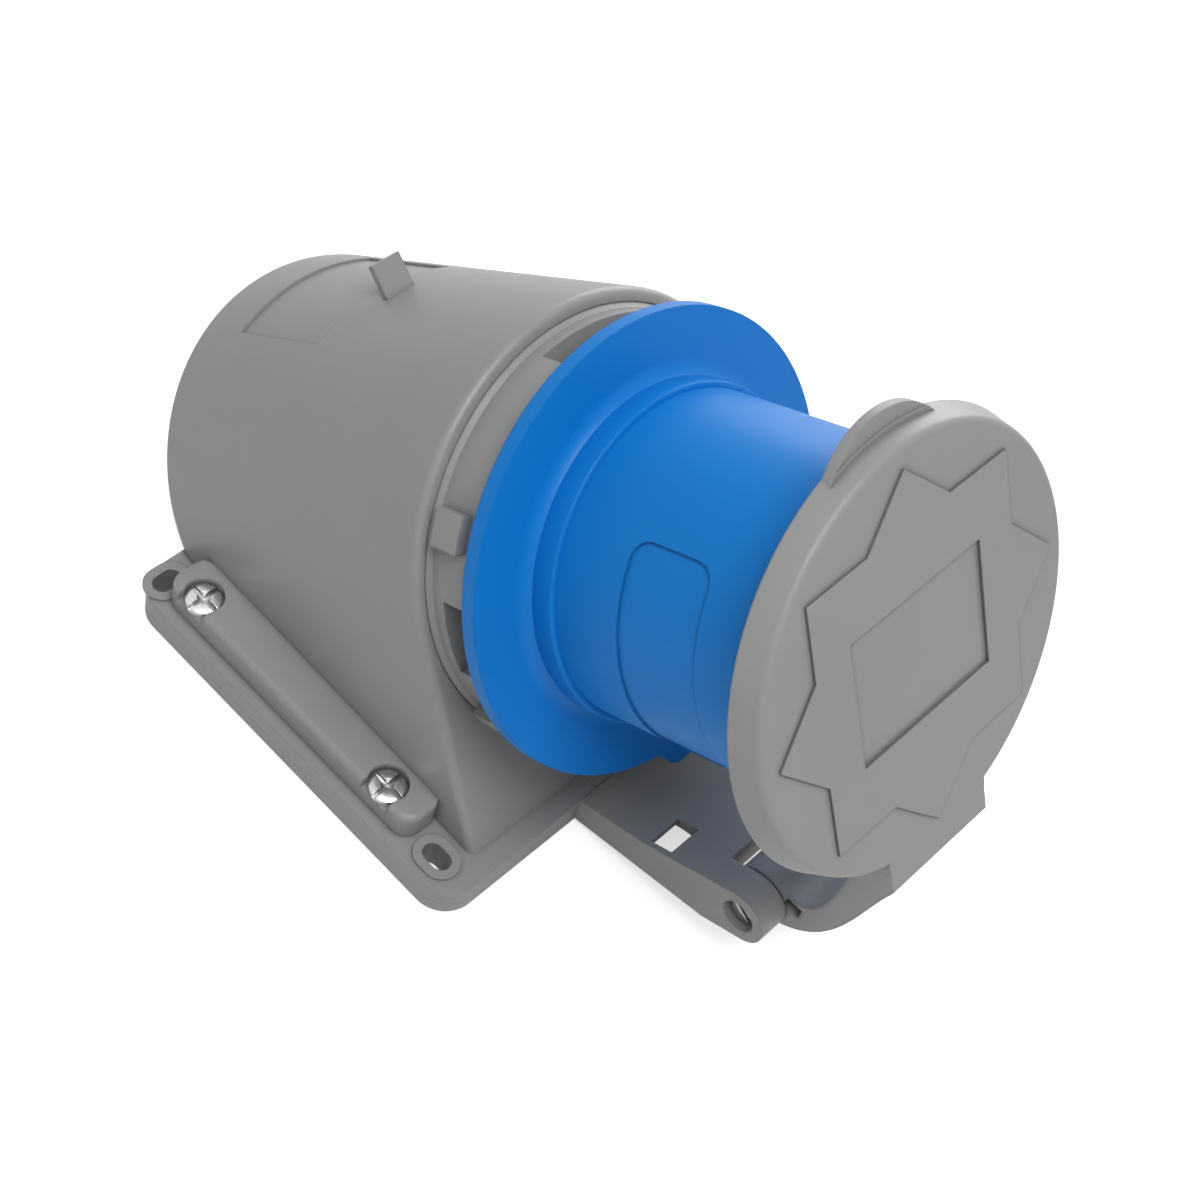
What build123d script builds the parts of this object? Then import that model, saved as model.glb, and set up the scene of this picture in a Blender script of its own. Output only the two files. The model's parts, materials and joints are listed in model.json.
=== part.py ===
from build123d import *
from math import acos, atan2, cos, hypot, radians, sin, tan
import os

# Angled wall inlet for 63 A, two poles and earth. Millimetres.
# The wall is the plane z = 0 and the origin is the centre of the four wall fixings.
# The inlet points towards -Y and up off the wall, and the cable comes in at the +Y end.

# Mouth of the inlet: its axis lies in the plane x = 0, and depths are measured back from the
# front of the lid along this axis
mouth_tilt = 29.0          # angle of the mouth axis off the wall
mouth_y = -109.5           # centre of the lid's front
mouth_z = 112.4

# Wall tray and housing flange
flange_width = 142.0
flange_front = -61.3
flange_rear = 55.2
flange_corner = 9.0
tray_height = 4.0
tray_inset = 0.7
tray_floor = 2.4
cover_top = 9.5            # top of the housing's flange
fixing_x = 64.0
fixing_y = 50.0
slot_half_width = 2.6
slot_length = 8.0
slot_pad = 2.4
slot_pad_height = 0.7

# Rails and cover screws
rail_inner = 55.2
rail_outer = 67.6
rail_front = -42.3
rail_rear = 46.6
rail_top = 18.0
rail_corner = 4.5
cover_screw_x = 63.2
cover_screw_y = (-30.5, 37.2)
screw_head_radius = 4.7
screw_head_height = 2.6
screw_shank_radius = 2.0
screw_seat = 14.4
screw_bore_gap = 0.5
screw_tip = 1.0
tray_boss_radius = 4.6
tray_boss_top = 7.0

# Barrel of the housing
barrel_slope = 38.0
barrel_radius = 55.4
barrel_draft = 1.8
barrel_wall = 3.2
front_depth = 97.0         # depth of the housing's front wall
rear_slope = 48.0          # lean of the rear wall from the vertical
rear_foot_z = 10.0
edge_round = 2.2
barrel_reach = 140.0       # longer than the barrel, before its ends are cut
barrel_back = 120.0

# Collar that carries the inlet, with its windows and catches
collar_radius = 51.5
collar_wall = 3.2
collar_groove = 1.2
window_front = 85.2
window_rear = 92.5
window_floor = 44.0
windows = ((-10.0, 26.0), (79.0, 101.0), (170.0, 206.0), (-101.0, -79.0))
catch_angles = (-59.5, 59.5, -120.5, 120.5)
catch_half_angle = 4.8
catch_front = 86.0
catch_rear = 94.2
catch_height = 3.0

# Label recess and lug on top of the barrel
label_front = 53.0
label_rear = 86.0
label_half_angle = 23.0
label_depth = 0.7
lug_along = 45.0
lug_width = 8.6
lug_height = 8.4
lug_thickness = 1.8
lug_lean = 11.0

# Cable entry in the rear wall
entry_radius = 16.2
entry_boss_radius = 19.5
entry_length = 8.0
entry_up = 25.5            # distance of its centre up the rear wall from the foot

# Inlet insert: shroud and flange
insert_front = 5.8
shroud_radius = 39.5
shroud_wall = 3.5
shroud_root = 5.0
insert_flange_front = 76.8
insert_flange_radius = 56.5
insert_flange_thickness = 3.8
insert_tab_half = 9.0
insert_tab_reach = 61.6
bulkhead_front = 78.0
bulkhead_rear = 82.0
bulkhead_opening = 29.0
spigot_rear = 83.4
spigot_inner = 40.5
spigot_gap = 0.4
spigot_room_rear = 83.8
keyway_half = 4.0
keyway_depth = 1.9
keyway_length = 56.0
panel_front = 28.5
panel_rear = 50.8
panel_half_angle = 46.0
panel_corner = 5.0
panel_depth = 0.6

# Screws that hold the insert, driven from inside the housing
ring_inner = 40.5
insert_screw_ring = 44.4
insert_screw_radius = 1.7
insert_screw_tip = 78.6
insert_screw_gap = 0.2
insert_head_radius = 3.1
insert_head_height = 2.2
insert_screw_angles = (45.0, 135.0, 225.0, 315.0)

# Seals
insert_seal_width = 1.6
insert_seal_height = 1.2
tray_seal_half = 56.8
tray_seal_front = -55.2
tray_seal_rear = 47.0
tray_seal_corner = 6.0
tray_seal_width = 1.8
tray_seal_height = 1.4
lid_seal_inner = 33.0
lid_seal_height = 2.0
lid_seal_gap = 0.2

# Contact carrier, retainer and contact pins
carrier_front = 66.0
carrier_gap = 0.2
retainer_radius = 33.0
retainer_thickness = 3.5
pin_ring = 17.5
pole_radius = 4.0
earth_radius = 5.0
pole_tip = 22.0
earth_tip = 16.0
pin_tip_round = 2.0
pin_neck = 0.6
pin_shoulder_front = 72.0
pin_shoulder_radius = 8.0
terminal_radius = 6.9
terminal_rear = 106.0
cable_bore_radius = 4.0
cable_bore_depth = 16.0
pin_gap = 0.1
terminal_screw_radius = 2.5
terminal_screw_depth = 98.0
terminal_screw_start = 3.2
terminal_screw_end = 9.4
screw_slot_width = 1.0
screw_slot_depth = 1.2
retainer_screw_x = 23.5
retainer_screw_radius = 1.6
retainer_head_radius = 3.0
retainer_head_height = 2.0
retainer_screw_tip = 71.0

# Hinge
hinge_y = -110.5
hinge_z = 23.7
hinge_pin_radius = 2.5
hinge_running_gap = 0.05
pin_head_radius = 3.1
pin_head_height = 2.2
pin_recess_gap = 0.3
bracket_half_width = 26.0
bracket_root_bottom = 1.4
bracket_knee = (-102.5, 11.4)      # (y, z) where the underside turns up to the ears
bracket_shoulder = (-80.3, 16.7)   # (y, z) where the top bends
ear_radius = 7.6
ear_inner = 17.5
ear_gap_rear = -99.8
bracket_tongue_half = 20.0
bracket_tongue_length = 5.6
bracket_tongue_bottom = 6.5
tongue_gap = 0.15
bracket_hole = (19.6, -85.2)       # centre of each square hole
bracket_hole_size = (9.6, 5.8)
bracket_root_top = 10.0
bracket_screw_x = 12.0
bracket_screw_radius = 1.3
bracket_head_radius = 2.3
bracket_head_height = 1.3
bracket_screw_tip = 9.0

# Lid
lid_radius = 53.7
lid_thickness = 7.6
lid_draft = 9.0
lid_edge_round = 1.5
star_radius = 45.8
star_ratio = 0.77
star_height = 0.6
plate_width = 43.0
plate_height = 32.4
plate_depth = 0.8
lid_cavity_radius = 41.4
lid_cavity_depth = 4.1
arm_top = 43.0              # distance of its upper end below the lid's centre
lip_peak = 57.2
lip_radius = 20.8
lip_front = 5.2
arm_half_width = 17.0
arm_foot = 55.5            # how far down the arm's front face reaches from the lid's centre
knuckle_radius = 7.9
arm_outer = ((-131.5, 42.7), (-126.2, 28.4), (-116.2, 18.7))   # (y, z) along the back of the bend
arm_inner = ((-113.5, 31.0), (-121.4, 33.6), (-124.6, 42.5), (-125.3, 54.0), (-127.1, 65.0))
spring_room_half = 7.5
spring_room_radius = 5.9

# Lid spring
spring_mean_radius = 4.5
spring_wire = 0.6
spring_turns = 5
spring_pitch = 2.4
spring_lid_leg = 9.0
spring_bracket_leg = 13.5
spring_leg_gap = 0.15

mouth_out = (0, -cos(radians(mouth_tilt)), sin(radians(mouth_tilt)))
mouth_up = (0, sin(radians(mouth_tilt)), cos(radians(mouth_tilt)))
mouth_axis = Axis((0, mouth_y, mouth_z), mouth_out)
# Half section of what is turned about the mouth axis: x is the radius and y the depth
mouth_section = Plane(origin=(0, mouth_y, mouth_z), x_dir=(1, 0, 0), z_dir=mouth_up)


def mouth_point(depth, up=0.0):
    """Place on the plane x = 0, from its depth and its distance above the mouth axis."""
    y = mouth_y + depth * cos(radians(mouth_tilt)) + up * sin(radians(mouth_tilt))
    z = mouth_z - depth * sin(radians(mouth_tilt)) + up * cos(radians(mouth_tilt))
    return (y, z)


def mouth_plane(depth):
    """Plane across the mouth axis; its own y points to the top of the lid."""
    return Plane(origin=(0, *mouth_point(depth)), x_dir=(1, 0, 0), z_dir=mouth_out)


def barrel_plane(along):
    """Plane across the barrel, at a distance behind the point where the two axes cross."""
    y, z = mouth_point(front_depth + 2.0)
    out = (0, -cos(radians(barrel_slope)), sin(radians(barrel_slope)))
    return Plane(origin=(0, y - along * out[1], z - along * out[2]), x_dir=(1, 0, 0), z_dir=out)


def rear_plane(inset=0.0):
    """Plane of the sloping rear wall, facing out, moved in by the inset."""
    out = (0, cos(radians(rear_slope)), -sin(radians(rear_slope)))
    return Plane(origin=(0, flange_rear - inset * out[1], rear_foot_z - inset * out[2]),
                 x_dir=(-1, 0, 0), z_dir=out)


def barrel_outline(radius):
    """Half round that runs into two legs, which spread a little towards the wall."""
    side, up = cos(radians(barrel_draft)), sin(radians(barrel_draft))
    shoulder = (radius * side, radius * up)
    foot = (shoulder[0] + barrel_reach * up, shoulder[1] - barrel_reach * side)
    with BuildLine() as outline:
        ThreePointArc((-shoulder[0], shoulder[1]), (0, radius), shoulder)
        Polyline(shoulder, foot, (-foot[0], foot[1]), (-shoulder[0], shoulder[1]))
    make_face(outline.edges())


def ring_sector(inner, outer, start, end):
    """Piece of a ring; angles run clockwise from the top."""
    with BuildLine() as outline:
        far = CenterArc((0, 0), outer, 90 - end, end - start)
        near = CenterArc((0, 0), inner, 90 - end, end - start)
        Line(far @ 0, near @ 0)
        Line(far @ 1, near @ 1)
    make_face(outline.edges())


def ring_place(radius, angle):
    """Place on a ring, at an angle clockwise from the top."""
    return (radius * sin(radians(angle)), radius * cos(radians(angle)))


def on_sides(places):
    """The same places on both sides of the plane x = 0."""
    return [(side * x, y) for side in (-1, 1) for x, y in places]


def flange_outline(inset=0.0):
    """Rounded outline of the flange on the wall."""
    middle = (flange_front + flange_rear) / 2
    with Locations((0, middle)):
        RectangleRounded(flange_width - 2 * inset, flange_rear - flange_front - 2 * inset,
                         flange_corner - inset)


def wall_slots(half_width, length):
    """Slots along Y at the front corners and along X at the rear ones."""
    with Locations(*on_sides([(fixing_x, -fixing_y)])):
        SlotOverall(length, 2 * half_width, rotation=90)
    with Locations(*on_sides([(fixing_x, fixing_y)])):
        SlotOverall(length, 2 * half_width)


def tray_seal_track():
    """Closed track of the seal round the housing's opening."""
    width = 2 * tray_seal_half
    height = tray_seal_rear - tray_seal_front
    with Locations((0, (tray_seal_front + tray_seal_rear) / 2)):
        RectangleRounded(width, height, tray_seal_corner)
        RectangleRounded(width - 2 * tray_seal_width, height - 2 * tray_seal_width,
                         tray_seal_corner - tray_seal_width, mode=Mode.SUBTRACT)


def ear_tangent(place, side):
    """Where a line from the place touches the ear's round end, above it (1) or below (-1)."""
    y, z = place[0] - hinge_y, place[1] - hinge_z
    angle = atan2(z, y) + side * acos(ear_radius / hypot(y, z))
    return (hinge_y + ear_radius * cos(angle), hinge_z + ear_radius * sin(angle))


def terminal_plane(angle):
    """Plane across a terminal screw, on the axis of the pin that it clamps."""
    out = (sin(radians(angle)), cos(radians(angle)) * mouth_up[1], cos(radians(angle)) * mouth_up[2])
    across, up = ring_place(pin_ring, angle)
    return Plane(origin=(across, *mouth_point(terminal_screw_depth, up)), x_dir=mouth_out, z_dir=out)


os.makedirs("parts", exist_ok=True)
cover_screw_places = on_sides([(cover_screw_x, y) for y in cover_screw_y])
bracket_screw_places = on_sides([(bracket_screw_x, flange_front + bracket_tongue_length / 2)])
insert_screw_places = [ring_place(insert_screw_ring, angle) for angle in insert_screw_angles]
insert_rear = insert_flange_front + insert_flange_thickness
front_inside = front_depth + barrel_wall
retainer_rear = bulkhead_rear + retainer_thickness
pins = (
    ("line_pin", -60.0, pole_radius, pole_tip),
    ("neutral_pin", 60.0, pole_radius, pole_tip),
    ("earth_pin", 180.0, earth_radius, earth_tip),
)
hinge_axis_plane = Plane(origin=(0, hinge_y, hinge_z), x_dir=(0, 1, 0), z_dir=(1, 0, 0))

# Path of the lid spring: a coil round the hinge pin with a straight leg at each end
spring_length = spring_pitch * (spring_turns + 0.125)
coil_start = Plane(origin=(spring_length / 2, hinge_y, hinge_z), x_dir=(0, 0, -1), z_dir=(-1, 0, 0))
coil = coil_start * Edge.make_helix(spring_pitch, spring_length, spring_mean_radius)
bracket_leg = Plane(origin=coil @ 0, z_dir=-(coil % 0))
lid_leg = Plane(origin=coil @ 1, z_dir=coil % 1)

# Wall tray
with BuildPart() as wall_tray:
    with BuildSketch():
        flange_outline(tray_inset)
    extrude(amount=tray_height)
    with BuildSketch(Plane.XY.offset(tray_height)):
        with Locations(*cover_screw_places):
            Circle(tray_boss_radius)
    extrude(amount=tray_boss_top - tray_height)
    with BuildSketch(Plane.XY.offset(screw_tip)):
        with Locations(*cover_screw_places):
            Circle(screw_shank_radius)
    extrude(amount=tray_boss_top, mode=Mode.SUBTRACT)
    with BuildSketch(Plane.XY.offset(tray_height - tray_seal_height)):
        tray_seal_track()
    extrude(amount=tray_seal_height, mode=Mode.SUBTRACT)
    with BuildSketch():
        wall_slots(slot_half_width, slot_length)
    extrude(amount=tray_height, mode=Mode.SUBTRACT)
wall_tray.part.label = "wall_tray"
export_step(wall_tray.part, "parts/wall_tray.step")

with BuildPart() as tray_seal:
    with BuildSketch(Plane.XY.offset(tray_height - tray_seal_height)):
        tray_seal_track()
    extrude(amount=tray_seal_height)
tray_seal.part.label = "tray_seal"
export_step(tray_seal.part, "parts/tray_seal.step")

# Room inside the housing
with BuildPart() as housing_room:
    with BuildSketch(barrel_plane(barrel_back)):
        barrel_outline(barrel_radius - barrel_wall)
    extrude(amount=barrel_reach)
    split(bisect_by=mouth_plane(front_inside), keep=Keep.BOTTOM)
    split(bisect_by=rear_plane(barrel_wall), keep=Keep.BOTTOM)
    split(bisect_by=Plane.XY, keep=Keep.TOP)

# Housing: flange, rails, sloping barrel and the collar for the inlet
with BuildPart() as housing:
    with BuildSketch(barrel_plane(barrel_back)):
        barrel_outline(barrel_radius)
    extrude(amount=barrel_reach)
    split(bisect_by=mouth_plane(front_depth), keep=Keep.BOTTOM)
    split(bisect_by=rear_plane(), keep=Keep.BOTTOM)
    split(bisect_by=Plane.XY.offset(tray_height), keep=Keep.TOP)
    end_faces = [housing.faces().sort_by(Axis.Y)[-1], housing.faces().sort_by(mouth_axis)[-1]]
    end_edges = [edge for face in end_faces for edge in face.edges()]
    fillet([edge for edge in end_edges if edge.center().Z > tray_height + 1], edge_round)
    with BuildSketch(Plane.XY.offset(tray_height)):
        flange_outline()
    extrude(amount=cover_top - tray_height)
    with BuildSketch(Plane.XY.offset(tray_height)):
        with Locations(*on_sides([((rail_inner + rail_outer) / 2, (rail_front + rail_rear) / 2)])):
            RectangleRounded(rail_outer - rail_inner, rail_rear - rail_front, rail_corner)
    extrude(amount=rail_top - tray_height)
    # Raised rims of the wall slots
    with BuildSketch(Plane.XY.offset(cover_top)):
        wall_slots(slot_half_width + slot_pad, slot_length + 2 * slot_pad)
    extrude(amount=slot_pad_height)
    # Collar
    with BuildSketch(mouth_plane(front_inside)):
        Circle(collar_radius)
    extrude(amount=front_inside - insert_rear)
    for angle in catch_angles:
        with BuildSketch(mouth_plane(catch_rear)):
            ring_sector(ring_inner + 2, collar_radius + catch_height,
                        angle - catch_half_angle, angle + catch_half_angle)
        extrude(amount=catch_rear - catch_front)
    add(housing_room.part, mode=Mode.SUBTRACT)
    # Sill behind the hinge bracket, for the seal and the bracket's screws
    with BuildSketch(Plane.XY.offset(tray_height)):
        with Locations((0, (flange_front + tray_seal_front) / 2 + tray_seal_width)):
            Rectangle(2 * tray_seal_half, tray_seal_front - flange_front + 2 * tray_seal_width)
    extrude(amount=cover_top - tray_height)
    # Ring behind the insert, hollowed by the windows
    with BuildSketch(mouth_plane(front_inside)):
        Circle(collar_radius - collar_wall)
    extrude(amount=front_inside - spigot_room_rear)
    with BuildSketch(mouth_plane(front_inside)):
        Circle(ring_inner)
    extrude(amount=front_inside - insert_rear, mode=Mode.SUBTRACT)
    with BuildSketch(mouth_plane(spigot_room_rear)):
        Circle(collar_radius - collar_wall)
    extrude(amount=spigot_room_rear - insert_rear, mode=Mode.SUBTRACT)
    for start, end in windows:
        with BuildSketch(mouth_plane(window_rear)):
            ring_sector(window_floor, collar_radius + 1, start, end)
        extrude(amount=window_rear - window_front, mode=Mode.SUBTRACT)
    with BuildSketch(mouth_plane(front_depth + collar_groove)):
        Circle(collar_radius + collar_groove)
        Circle(collar_radius, mode=Mode.SUBTRACT)
    extrude(amount=collar_groove, mode=Mode.SUBTRACT)
    with BuildSketch(mouth_plane(insert_rear + insert_seal_height)):
        Circle(collar_radius - collar_wall / 2 + insert_seal_width / 2)
        Circle(collar_radius - collar_wall / 2 - insert_seal_width / 2, mode=Mode.SUBTRACT)
    extrude(amount=insert_seal_height, mode=Mode.SUBTRACT)
    with BuildSketch(mouth_plane(front_inside)):
        with Locations(*insert_screw_places):
            Circle(insert_screw_radius + insert_screw_gap)
    extrude(amount=front_inside - spigot_room_rear, mode=Mode.SUBTRACT)
    # Cable entry
    with BuildSketch(rear_plane()):
        with Locations((0, entry_up)):
            Circle(entry_boss_radius)
    extrude(amount=-entry_length)
    with BuildSketch(rear_plane()):
        with Locations((0, entry_up)):
            Circle(entry_radius)
    extrude(amount=-entry_length, mode=Mode.SUBTRACT)
    # Label recess and lug
    with BuildSketch(barrel_plane(label_rear)):
        ring_sector(barrel_radius - label_depth, barrel_radius + 1, -label_half_angle, label_half_angle)
    extrude(amount=label_rear - label_front, mode=Mode.SUBTRACT)
    lug_base = barrel_plane(lug_along).from_local_coords(Vector(0, barrel_radius - 1.0, 0))
    with BuildSketch(Plane(origin=lug_base, x_dir=(1, 0, 0),
                           z_dir=barrel_plane(lug_along).y_dir).rotated((-lug_lean, 0, 0))):
        Rectangle(lug_width, lug_thickness)
    extrude(amount=lug_height + 1.0)
    # Cover screws: room for the tray's bosses, shanks and heads
    with BuildSketch(Plane.XY.offset(tray_height)):
        with Locations(*cover_screw_places):
            Circle(tray_boss_radius + screw_bore_gap)
    extrude(amount=tray_boss_top - tray_height + screw_bore_gap, mode=Mode.SUBTRACT)
    with BuildSketch(Plane.XY.offset(tray_height)):
        with Locations(*cover_screw_places):
            Circle(screw_shank_radius + screw_bore_gap)
    extrude(amount=rail_top - tray_height, mode=Mode.SUBTRACT)
    with BuildSketch(Plane.XY.offset(screw_seat)):
        with Locations(*cover_screw_places):
            Circle(screw_head_radius + screw_bore_gap)
    extrude(amount=rail_top - screw_seat, mode=Mode.SUBTRACT)
    # Seat of the hinge bracket's tongue, with its screws from below
    with BuildSketch(Plane.XY.offset(bracket_tongue_bottom - tongue_gap)):
        with Locations((0, flange_front + (bracket_tongue_length + tongue_gap) / 2)):
            Rectangle(2 * (bracket_tongue_half + tongue_gap), bracket_tongue_length + tongue_gap)
    extrude(amount=cover_top - bracket_tongue_bottom + 2 * tongue_gap, mode=Mode.SUBTRACT)
    with BuildSketch(Plane.XY.offset(tray_height)):
        with Locations(*bracket_screw_places):
            Circle(bracket_screw_radius + tongue_gap)
    extrude(amount=bracket_tongue_bottom - tray_height, mode=Mode.SUBTRACT)
    with BuildSketch(Plane.XY.offset(tray_height)):
        with Locations(*bracket_screw_places):
            Circle(bracket_head_radius + tongue_gap)
    extrude(amount=bracket_head_height, mode=Mode.SUBTRACT)
    with BuildSketch(Plane.XY.offset(tray_height)):
        wall_slots(slot_half_width, slot_length)
    extrude(amount=rail_top, mode=Mode.SUBTRACT)
housing.part.label = "housing"
export_step(housing.part, "parts/housing.step")

for number, (x, y) in enumerate(cover_screw_places, 1):
    with BuildPart() as cover_screw:
        with BuildSketch(Plane.XY.offset(screw_seat)):
            with Locations((x, y)):
                Circle(screw_head_radius)
        extrude(amount=screw_head_height)
        fillet(cover_screw.edges().group_by(Axis.Z)[-1], screw_head_height / 2)
        with BuildSketch(Plane.XY.offset(screw_seat + screw_head_height)):
            with Locations((x, y)):
                Rectangle(1.5 * screw_head_radius, screw_slot_width)
                Rectangle(screw_slot_width, screw_head_radius)
        extrude(amount=-screw_slot_depth, mode=Mode.SUBTRACT)
        with BuildSketch(Plane.XY.offset(screw_tip)):
            with Locations((x, y)):
                Circle(screw_shank_radius)
        extrude(amount=screw_seat - screw_tip)
    cover_screw.part.label = f"cover_screw_{number}"
    export_step(cover_screw.part, f"parts/cover_screw_{number}.step")

# Hinge bracket
with BuildPart() as hinge_bracket:
    with BuildSketch(Plane.YZ):
        with BuildLine():
            Polyline((flange_front, bracket_root_bottom), bracket_knee, ear_tangent(bracket_knee, -1),
                     (hinge_y, hinge_z), ear_tangent(bracket_shoulder, 1), bracket_shoulder,
                     (flange_front, bracket_root_top), close=True)
        make_face()
        with Locations((hinge_y, hinge_z)):
            Circle(ear_radius)
    extrude(amount=bracket_half_width, both=True)
    with BuildSketch(Plane.YZ):
        with Locations((ear_gap_rear, hinge_z)):
            Rectangle(3 * ear_radius, 6 * ear_radius, align=(Align.MAX, Align.CENTER))
    extrude(amount=ear_inner, both=True, mode=Mode.SUBTRACT)
    with BuildSketch(Plane.XY):
        with Locations(*on_sides([bracket_hole])):
            Rectangle(*bracket_hole_size)
    extrude(amount=2 * hinge_z, mode=Mode.SUBTRACT)
    with BuildSketch(Plane.XY.offset(bracket_tongue_bottom)):
        with Locations((0, flange_front + bracket_tongue_length / 2)):
            Rectangle(2 * bracket_tongue_half, bracket_tongue_length)
    extrude(amount=cover_top - bracket_tongue_bottom)
    with BuildSketch(Plane.XY.offset(bracket_tongue_bottom)):
        with Locations(*bracket_screw_places):
            Circle(bracket_screw_radius)
    extrude(amount=bracket_screw_tip - bracket_tongue_bottom, mode=Mode.SUBTRACT)
    with BuildSketch(hinge_axis_plane.offset(ear_inner + 5.5)):
        Circle(hinge_pin_radius)
    extrude(amount=-2 * bracket_half_width, mode=Mode.SUBTRACT)
    with BuildSketch(hinge_axis_plane.offset(-bracket_half_width)):
        Circle(pin_head_radius + pin_recess_gap)
    extrude(amount=pin_head_height + pin_recess_gap, mode=Mode.SUBTRACT)
    with BuildSketch(bracket_leg):
        Circle(spring_wire + spring_leg_gap)
    extrude(amount=spring_bracket_leg + spring_leg_gap, mode=Mode.SUBTRACT)
hinge_bracket.part.label = "hinge_bracket"
export_step(hinge_bracket.part, "parts/hinge_bracket.step")

for number, (x, y) in enumerate(bracket_screw_places, 1):
    with BuildPart() as bracket_screw:
        with BuildSketch(Plane.XY.offset(tray_height)):
            with Locations((x, y)):
                Circle(bracket_head_radius)
        extrude(amount=bracket_head_height)
        with BuildSketch(Plane.XY.offset(tray_height)):
            with Locations((x, y)):
                Rectangle(1.5 * bracket_head_radius, screw_slot_width / 2)
        extrude(amount=bracket_head_height / 2, mode=Mode.SUBTRACT)
        with BuildSketch(Plane.XY.offset(tray_height + bracket_head_height)):
            with Locations((x, y)):
                Circle(bracket_screw_radius)
        extrude(amount=bracket_screw_tip - tray_height - bracket_head_height)
    bracket_screw.part.label = f"bracket_screw_{number}"
    export_step(bracket_screw.part, f"parts/bracket_screw_{number}.step")

# Hinge pin, with a slotted head in the ear on the -X side
with BuildPart() as hinge_pin:
    with BuildSketch(hinge_axis_plane.offset(ear_inner + 5.5)):
        Circle(hinge_pin_radius)
    extrude(amount=-(ear_inner + 5.5 + bracket_half_width - pin_head_height))
    with BuildSketch(hinge_axis_plane.offset(pin_recess_gap - bracket_half_width)):
        Circle(pin_head_radius)
    extrude(amount=pin_head_height)
    with BuildSketch(hinge_axis_plane.offset(pin_recess_gap - bracket_half_width)):
        Rectangle(3 * pin_head_radius, screw_slot_width, rotation=-30)
    extrude(amount=screw_slot_depth, mode=Mode.SUBTRACT)
hinge_pin.part.label = "hinge_pin"
export_step(hinge_pin.part, "parts/hinge_pin.step")

# Lid, moulded in one with its arm and the hinge knuckle
with BuildPart() as lid:
    with BuildSketch(mouth_section):
        with BuildLine():
            Polyline((0, star_height),
                     (lid_radius - (lid_thickness - star_height) * tan(radians(lid_draft)), star_height),
                     (lid_radius, lid_thickness), (lid_cavity_radius, lid_thickness),
                     (lid_cavity_radius, lid_thickness - lid_cavity_depth),
                     (0, lid_thickness - lid_cavity_depth), close=True)
        make_face()
    revolve(axis=mouth_axis)
    fillet(lid.faces().sort_by(mouth_axis)[-1].edges(), lid_edge_round)
    with BuildSketch(mouth_plane(star_height)):
        points = [ring_place(star_radius * (star_ratio if step % 2 else 1), 22.5 * step)
                  for step in range(16)]
        with BuildLine():
            Polyline(*points, close=True)
        make_face()
    extrude(amount=star_height)
    with BuildSketch(mouth_plane(plate_depth)):
        Rectangle(plate_width, plate_height)
    extrude(amount=plate_depth, mode=Mode.SUBTRACT)
    # Finger lip
    with BuildSketch(mouth_plane(lid_thickness)):
        with Locations((0, lip_peak - lip_radius)):
            Circle(lip_radius)
        Circle(lid_radius - 4, mode=Mode.SUBTRACT)
    extrude(amount=lid_thickness - lip_front)
    # Arm and knuckle
    with BuildSketch(Plane.YZ):
        with BuildLine():
            foot = mouth_point(star_height, -arm_foot)
            Line(mouth_point(star_height, -arm_top), foot)
            Spline(foot, *arm_outer)
            Polyline(arm_outer[-1], (hinge_y, hinge_z), arm_inner[0])
            Spline(*arm_inner)
            Polyline(arm_inner[-1], mouth_point(lid_thickness, -arm_top),
                     mouth_point(star_height, -arm_top))
        make_face()
        with Locations((hinge_y, hinge_z)):
            Circle(knuckle_radius)
    extrude(amount=arm_half_width, both=True)
    with BuildSketch(Plane.YZ):
        with Locations((hinge_y, hinge_z)):
            Circle(hinge_pin_radius + hinge_running_gap)
    extrude(amount=arm_half_width, both=True, mode=Mode.SUBTRACT)
    # Room for the spring, open below for the leg on the bracket
    with BuildSketch(Plane.YZ):
        with Locations((hinge_y, hinge_z)):
            Circle(spring_room_radius)
        with Locations((hinge_y - spring_room_radius, hinge_z)):
            Rectangle(3 * spring_room_radius, 2 * spring_room_radius, align=(Align.MIN, Align.MAX))
    extrude(amount=spring_room_half, both=True, mode=Mode.SUBTRACT)
    with BuildSketch(lid_leg):
        Circle(spring_wire + spring_leg_gap)
    extrude(amount=spring_lid_leg + spring_leg_gap, mode=Mode.SUBTRACT)
lid.part.label = "lid"
export_step(lid.part, "parts/lid.step")

with BuildPart() as lid_seal:
    with BuildSketch(mouth_plane(lid_thickness - lid_cavity_depth + lid_seal_height)):
        Circle(lid_cavity_radius - lid_seal_gap)
        Circle(lid_seal_inner, mode=Mode.SUBTRACT)
    extrude(amount=lid_seal_height)
lid_seal.part.label = "lid_seal"
export_step(lid_seal.part, "parts/lid_seal.step")

with BuildPart() as lid_spring:
    with BuildLine():
        add(coil)
    with BuildSketch(bracket_leg):
        Circle(spring_wire)
    sweep(path=coil, is_frenet=True)
    with BuildSketch(bracket_leg):
        Circle(spring_wire)
    extrude(amount=spring_bracket_leg)
    with BuildSketch(lid_leg):
        Circle(spring_wire)
    extrude(amount=spring_lid_leg)
lid_spring.part.label = "lid_spring"
export_step(lid_spring.part, "parts/lid_spring.step")

# Panel on each side of the shroud
with BuildPart() as panels:
    for side in (-90, 90):
        with BuildSketch(mouth_plane(panel_rear)):
            ring_sector(shroud_radius - panel_depth, shroud_radius + 2,
                        side - panel_half_angle, side + panel_half_angle)
        extrude(amount=panel_rear - panel_front)
    corners = [edge for edge in panels.edges().filter_by(GeomType.LINE)
               if abs(edge.tangent_at(0).dot(Vector(*mouth_out))) < 0.1]
    fillet(corners, panel_corner)

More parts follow.
